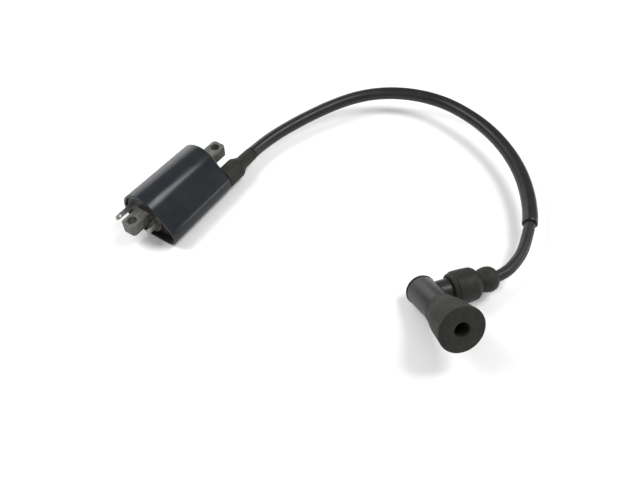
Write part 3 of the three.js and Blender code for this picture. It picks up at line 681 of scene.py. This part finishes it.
def make_sheet(index):
    """One punched sheet, a few hundredths out of line with its neighbours."""
    low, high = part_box(f"core_sheet_{index}")
    thickness = (high.z - low.z) / MM
    shift = SHEET_SHIFT * noise.noise(Vector((index * 3.7, 0.5, 0)))
    place = Matrix.Translation(Vector((0, shift * MM, (low.z + high.z) / 2)))
    loops = sheet_loops(low, high, CORE_CORNER, FIXING_R)
    return plate(f"sheet_{index}", loops, thickness, SHEET_BEVEL, place)


for index in range(1, 9):
    ready(make_sheet(index), "coil", "core_iron", f"core_sheet_{index}")

# ---------------------------------------------------------------- collar, resin and terminals

bobbin_low, bobbin_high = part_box("secondary_bobbin")
COLLAR_NEAR = bobbin_low.x / MM
COLLAR_DEPTH = 7.2
BOBBIN_NEAR = COLLAR_NEAR + COLLAR_DEPTH
BOBBIN_FAR = bobbin_high.x / MM
COLLAR_R = 14.1
COLLAR_BORE_R = 12.9
BOBBIN_BORE_R = 9.8
BOBBIN_TUBE_R = 10.5
BOBBIN_FLANGE_R = 13.6
FLANGE = 1
SECTIONS = 6


def make_bobbin():
    """The secondary bobbin, whose collar shows as the inner rim of the open end."""
    pitch = (BOBBIN_FAR - BOBBIN_NEAR - FLANGE) / SECTIONS
    profile = [(BOBBIN_NEAR, BOBBIN_BORE_R), (BOBBIN_NEAR, COLLAR_BORE_R, 0.3),
               (COLLAR_NEAR, COLLAR_BORE_R, 0.35), (COLLAR_NEAR, COLLAR_R, 0.35),
               (BOBBIN_NEAR + FLANGE, COLLAR_R), (BOBBIN_NEAR + FLANGE, BOBBIN_TUBE_R)]
    for i in range(1, SECTIONS + 1):
        flange = BOBBIN_NEAR + i * pitch
        inner = BOBBIN_TUBE_R if i < SECTIONS else BOBBIN_BORE_R
        profile += [(flange, BOBBIN_TUBE_R), (flange, BOBBIN_FLANGE_R, 0.2),
                    (flange + FLANGE, BOBBIN_FLANGE_R, 0.2), (flange + FLANGE, inner)]
    profile.append((BOBBIN_NEAR, BOBBIN_BORE_R))
    return revolve("bobbin", on_core, profile, 120)


ready(make_bobbin(), "coil", "bobbin_plastic", "secondary_bobbin")

left_low, left_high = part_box("blade_terminal_left")
right_low, right_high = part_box("blade_terminal_right")

# how far the resin's middle lies behind its CAD face, and how far the pocket's resin enters the walls
RESIN_DIP = 0.25
POCKET_RESIN_DIP = 0.2
OVERLAP = 0.45


def rectangle_distance(y, z, low, high):
    """How far a point is outside a rectangle in the YZ plane, in mm."""
    dy = max(low.y / MM - y, y - high.y / MM, 0)
    dz = max(low.z / MM - z, z - high.z / MM, 0)
    return math.hypot(dy, dz)


def climb(gap, height, fall):
    """How far resin climbs, in mm, at a gap from a wall that it wets."""
    return height * math.exp(-gap / fall)


def ripple(y, z, height, pitch, layer):
    """Unevenness up to about the height in mm. A larger pitch gives smaller ripples."""
    return height * noise.noise(Vector((y * pitch, z * pitch, layer)))


def make_resin(rings=64, sides=180):
    """Cast resin in the collar: it climbs a little up the collar, the bar and the blades."""
    resin_low, resin_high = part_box("potting_resin")
    level = resin_low.x / MM
    back = resin_high.x / MM
    verts = [Vector((level, CORE_Y, CORE_Z)) * MM]
    for ring in range(1, rings + 1):
        radius = (COLLAR_BORE_R + 0.05) * ring / rings
        for k in range(sides):
            turn = 2 * math.pi * k / sides
            y = CORE_Y + radius * math.cos(turn)
            z = CORE_Z + radius * math.sin(turn)
            rise = climb(COLLAR_BORE_R - radius, 0.55, 0.55)
            rise += climb(rectangle_distance(y, z, core_low, core_high), 0.6, 0.7)
            for low, high in ((left_low, left_high), (right_low, right_high)):
                rise += climb(rectangle_distance(y, z, low, high), 0.9, 0.8)
            rise += ripple(y, z, 0.16, 0.35, 2) + ripple(y, z, 0.05, 1.3, 8)
            verts.append(Vector((level + RESIN_DIP - rise, y, z)) * MM)
    for k in range(sides):
        turn = 2 * math.pi * k / sides
        verts.append(Vector((back, CORE_Y + COLLAR_BORE_R * math.cos(turn),
                             CORE_Z + COLLAR_BORE_R * math.sin(turn))) * MM)
    faces = [(0, 1 + k, 1 + (k + 1) % sides) for k in range(sides)]
    for ring in range(rings):
        for k in range(sides):
            n = (k + 1) % sides
            a = 1 + ring * sides
            faces.append((a + k, a + n, a + sides + n, a + sides + k))
    faces.append(tuple(len(verts) - sides + k for k in range(sides)))
    mesh = bpy.data.meshes.new("resin")
    mesh.from_pydata(verts, [], faces)
    smooth(mesh, 60)
    return link("resin", mesh)


def inside(y, z, outline):
    """Whether a point about the core's axis lies inside an outline."""
    hit = False
    for (y0, z0), (y1, z1) in zip(outline, outline[1:] + outline[:1]):
        if (z0 > z) != (z1 > z) and y < (y1 - y0) * (z - z0) / (z1 - z0) + y0:
            hit = not hit
    return hit


def make_pocket_resin():
    """Resin round the collar and in the tower's pocket, as a grid whose ragged edge lies in the walls."""
    low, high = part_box("tower_resin")
    level = low.x / MM
    outline = case_outline(CASE_NEAR + 4, CASE_WALL - OVERLAP, barrel_steps=60, tower_steps=24)
    tight = case_outline(CASE_NEAR + 4, CASE_WALL, barrel_steps=60, tower_steps=24)
    # the grid's cell in mm, and how many cells it reaches each way from the core's axis
    cell = 0.4
    tower_reach = int(30 / cell)
    barrel_reach = int(16 / cell)
    half_height = int(17 / cell)
    work = bmesh.new()
    known = {}

    def corner(i, j):
        if (i, j) not in known:
            y = i * cell
            z = j * cell
            gap = min(math.hypot(y - a, z - b) for a, b in tight)
            rise = climb(gap, 0.4, 0.5) + climb(abs(math.hypot(y, z) - COLLAR_R), 0.4, 0.5)
            rise += ripple(y, z, 0.15, 0.5, 5)
            at = Vector((level + POCKET_RESIN_DIP - rise, CORE_Y + y, CORE_Z + z))
            known[i, j] = work.verts.new(at * MM)
        return known[i, j]

    for i in range(-tower_reach, barrel_reach):
        for j in range(-half_height, half_height):
            y = (i + 0.5) * cell
            z = (j + 0.5) * cell
            if math.hypot(y, z) > COLLAR_R - OVERLAP and inside(y, z, outline):
                work.faces.new([corner(i, j), corner(i + 1, j), corner(i + 1, j + 1), corner(i, j + 1)])
    made = bmesh.ops.extrude_face_region(work, geom=list(work.faces))
    for v in [g for g in made["geom"] if isinstance(g, bmesh.types.BMVert)]:
        v.co.x = high.x
    mesh = bpy.data.meshes.new("pocket_resin")
    work.to_mesh(mesh)
    work.free()
    smooth(mesh, 60)
    return link("pocket_resin", mesh)


ready(make_resin(), "coil", "potting_resin", "potting_resin")
ready(make_pocket_resin(), "coil", "potting_resin", "tower_resin")

BLADE_THICKNESS = 0.8
BLADE_BEVEL = 0.14
BLADE_HOLE_R = 0.9
BLADE_HOLE_SETBACK = 3.4
SHOULDER_X = CASE_NEAR + 1
SHOULDER_STEP = 0.5
SHOULDER_SLOPE = 0.6


def make_blade(name, low, high, pointed):
    """A punched blade: a pointed one has a small hole, and the other a round tip."""
    tip = low.x / MM
    root = high.x / MM
    z0, z1 = low.z / MM, high.z / MM
    middle = (z0 + z1) / 2
    half = (z1 - z0) / 2
    neck = half - SHOULDER_STEP
    outline = [(root, middle - neck), (root, middle + neck),
               (SHOULDER_X + SHOULDER_SLOPE, middle + neck), (SHOULDER_X, z1)]
    if pointed:
        outline += corner_arc(tip + 1.9, z1 - 0.5, 0.5, 90, 135, 3)
        outline += corner_arc(tip + 0.45, middle + 1.0, 0.45, 135, 180, 3)
        outline += corner_arc(tip + 0.45, middle - 1.0, 0.45, 180, 225, 3)
        outline += corner_arc(tip + 1.9, z0 + 0.5, 0.5, 225, 270, 3)
    else:
        outline += corner_arc(tip + half, middle, half, 90, 270, 20)
    outline += [(SHOULDER_X, z0), (SHOULDER_X + SHOULDER_SLOPE, middle - neck)]
    loops = [outline]
    if pointed:
        loops.append(circle(tip + BLADE_HOLE_SETBACK, middle, BLADE_HOLE_R, 28))
    place = placed(X, Z, -Y, Vector((0, (low.y + high.y) / 2, 0)))
    return plate(name, loops, BLADE_THICKNESS, BLADE_BEVEL, place)


blade_left = make_blade("blade_left", left_low, left_high, True)
blade_right = make_blade("blade_right", right_low, right_high, False)
ready(blade_left, "coil", "tinned_brass", "blade_terminal_left")
ready(blade_right, "coil", "tinned_brass", "blade_terminal_right")

# ---------------------------------------------------------------- tower boot

boot_low, boot_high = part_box("tower_boot")
TOWER_BOOT_R = 7.5
TOWER_BOOT_BORE_R = STUB_R + 0.1
TOWER_BOOT_MOUTH_R = 3.62


def make_tower_boot():
    """A boot over the stub that narrows to the lead."""
    start = boot_low.x / MM
    end = boot_high.x / MM
    shoulder = start + 15.7
    return revolve("tower_boot_rubber", on_tower, [
        (start, TOWER_BOOT_BORE_R, 0.2), (start, TOWER_BOOT_R, 0.55), (shoulder - 1.4, TOWER_BOOT_R, 0.6),
        (shoulder, 6.7, 0.8), (shoulder + 2.6, 5.5, 1.2), (shoulder + 4.2, 4.85, 1.2),
        (end - 1.2, 4.72, 0.5), (end, 4.35, 0.3), (end, TOWER_BOOT_MOUTH_R, 0.1),
        (STUB_END + 0.3, TOWER_BOOT_MOUTH_R),
        (STUB_END + 0.3, TOWER_BOOT_BORE_R), (start, TOWER_BOOT_BORE_R, 0.2)])


ready(make_tower_boot(), "coil", "boot_rubber", "tower_boot")

# ---------------------------------------------------------------- plug cap

# radii, and places along the tube and the arm from the swivel's joint, in mm
TUBE_R = 9.3
TUBE_BACK = -7.9
TUBE_FRONT = 26.7
HUB_R = 7.3
HUB_END = 14.2
ARM_R = 6.2
ARM_END = 29
BACK_BORE_R = 4.4
SOCKET_BORE_R = 4.9
FRONT_BORE_R = 6.8
ARM_BORE_R = 4
CLOSURE_RIM_R = 9.6
CLOSURE_GROOVE_R = 8.6
CLOSURE_PLUG_R = 4.1
BOOT_BACK = 18
BOOT_FACE = 43.4
MOUTH_R = 4.4
SOCKET_ROOM_R = 7.4
LEAD_BOOT_NEAR = 14.6
LEAD_BOOT_FAR = 44.8
LEAD_BOOT_BORE_R = 3.65
RUBBER_GAP = 0.05


def make_cap_body():
    tube = revolve("cap", on_tube, [
        (TUBE_BACK, 0), (TUBE_BACK, TUBE_R, 0.25), (TUBE_FRONT, TUBE_R, 0.6), (TUBE_FRONT, 0)], 120)
    arm = revolve("arm", on_arm, [
        (0, 0), (0, HUB_R), (HUB_END, HUB_R, 0.5), (HUB_END, ARM_R), (ARM_END, ARM_R, 0.5), (ARM_END, 0)])
    combine(tube, [arm], "UNION")
    cutters = [
        revolve("back_bore", on_tube, [
            (TUBE_BACK - 1, 0), (TUBE_BACK - 1, BACK_BORE_R), (15, BACK_BORE_R), (15, 0)], 48),
        revolve("socket_bore", on_tube, [(14, 0), (14, SOCKET_BORE_R), (21, SOCKET_BORE_R), (21, 0)], 48),
        revolve("mouth_bore", on_tube, [
            (20, 0), (20, FRONT_BORE_R), (26.3, FRONT_BORE_R), (27.7, FRONT_BORE_R + 1), (27.7, 0)], 64),
        revolve("arm_bore", on_arm, [
            (3, 0), (3, ARM_BORE_R), (ARM_END + 1, ARM_BORE_R), (ARM_END + 1, 0)], 48),
    ]
    return combine(tube, cutters, "DIFFERENCE")


def make_closure():
    """The closure's dished rim, the groove behind it and the plug that enters the tube's bore."""
    return revolve("closure", on_tube, [
        (-9.35, 0), (-9.35, 5.6, 0.3), (-9.95, 6.2, 0.3), (-9.95, 8.6, 0.4), (-9.6, 9.3, 0.5),
        (-9.0, CLOSURE_RIM_R, 0.4), (-8.35, CLOSURE_RIM_R, 0.2), (-8.35, CLOSURE_GROOVE_R),
        (-7.95, CLOSURE_GROOVE_R), (-7.95, CLOSURE_PLUG_R), (-4.4, CLOSURE_PLUG_R, 0.4), (-4.4, 0)], 120)


def make_plug_boot():
    """A boot that grips the tube, flares to its face, and is hollow between the tube and its mouth."""
    grip = TUBE_R + RUBBER_GAP
    return revolve("plug_boot_rubber", on_tube, [
        (BOOT_BACK, grip), (BOOT_BACK, 9.8, 0.3), (22, 10.35, 1.5), (26, 11.55, 1.5), (30, 12.35, 1.5),
        (35, 12.85, 2), (40, 13.45, 2), (BOOT_FACE, 14.0, 0.9), (BOOT_FACE, MOUTH_R + 0.3, 0.5),
        (BOOT_FACE - 0.7, MOUTH_R, 0.4), (36, MOUTH_R, 0.6), (34.8, SOCKET_ROOM_R, 0.3),
        (27, SOCKET_ROOM_R), (27, grip), (BOOT_BACK, grip)], 144)


def make_lead_boot():
    """A boot with a thick band round the arm, a waist, and a knob round the lead."""
    grip = ARM_R + RUBBER_GAP
    return revolve("lead_boot_rubber", on_arm, [
        (LEAD_BOOT_NEAR, grip, 0.15), (LEAD_BOOT_NEAR, 9.4, 0.6), (17.0, 9.85, 0.5), (17.3, 10.5, 0.5),
        (24, 10.5, 1.5), (29.4, 10.1, 1.4), (31.3, 8.9, 0.8), (32.4, 7.0, 0.8), (33.4, 6.4, 0.7),
        (35.4, 7.3, 1.2), (39.2, 8.05, 2.4), (42.4, 7.3, 1.6), (44.2, 5.9, 0.9), (LEAD_BOOT_FAR, 4.9, 0.4),
        (LEAD_BOOT_FAR, LEAD_BOOT_BORE_R, 0.2), (29.3, LEAD_BOOT_BORE_R), (29.3, grip),
        (LEAD_BOOT_NEAR, grip, 0.15)], 96)


cap_pieces = [
    ready(make_cap_body(), "plug_cap", "phenolic", "cap_body"),
    ready(make_closure(), "plug_cap", "phenolic", "cap_closure"),
    ready(make_plug_boot(), "plug_cap", "boot_rubber", "plug_boot"),
    ready(make_lead_boot(), "plug_cap", "boot_rubber", "lead_boot"),
]

# ---------------------------------------------------------------- floor and light

floor_mesh = bpy.data.meshes.new("floor")
floor_mesh.from_pydata([(-6, -6, 0), (6, -6, 0), (6, 6, 0), (-6, 6, 0)], [], [(0, 1, 2, 3)])
floor = link("floor", floor_mesh)
floor_material = bpy.data.materials.new("floor")
floor_material.use_nodes = True
floor_shader = floor_material.node_tree.nodes["Principled BSDF"]
floor_shader.inputs["Base Color"].default_value = (0.93, 0.93, 0.925, 1)
floor_shader.inputs["Roughness"].default_value = 0.6
floor_shader.inputs["Emission Color"].default_value = (1, 1, 1, 1)
floor_shader.inputs["Emission Strength"].default_value = 0.05
floor_mesh.materials.append(floor_material)

world = bpy.data.worlds.new("studio")
world.use_nodes = True
world.node_tree.nodes["Background"].inputs["Color"].default_value = (1, 1, 1, 1)
world.node_tree.nodes["Background"].inputs["Strength"].default_value = 0.3
bpy.context.scene.world = world

VIEW_RIGHT = CAMERA_LOOK.cross(Z).normalized()
VIEW_AHEAD = Z.cross(VIEW_RIGHT).normalized()
STAGE_CENTRE = Vector((0.06, -0.1, 0))

# name: (right, ahead, up) from the stage's centre in metres, size in metres, power in watts
LIGHTS = {
    "left": ((-0.6, 0.06, 0.68), 0.36, 3.9),
    "right": ((0.42, 0.0, 0.78), 0.33, 4.3),
    "back": ((-0.6, 1.3, 0.35), 1.1, 9),
    "side": ((1.3, 0.0, 0.12), 0.6, 5),
    "front": ((-0.1, -1.1, 1.1), 1.2, 4),
}
for name, (offset, size, power) in LIGHTS.items():
    lamp_data = bpy.data.lights.new(name, "AREA")
    lamp_data.shape = "SQUARE"
    lamp_data.size = size
    lamp_data.energy = power
    lamp = bpy.data.objects.new(name, lamp_data)
    lamp.location = STAGE_CENTRE + VIEW_RIGHT * offset[0] + VIEW_AHEAD * offset[1] + Z * offset[2]
    lamp.rotation_euler = (STAGE_CENTRE - lamp.location).to_track_quat("-Z", "Y").to_euler()
    bpy.context.scene.collection.objects.link(lamp)
bpy.context.scene.view_settings.view_transform = "Standard"
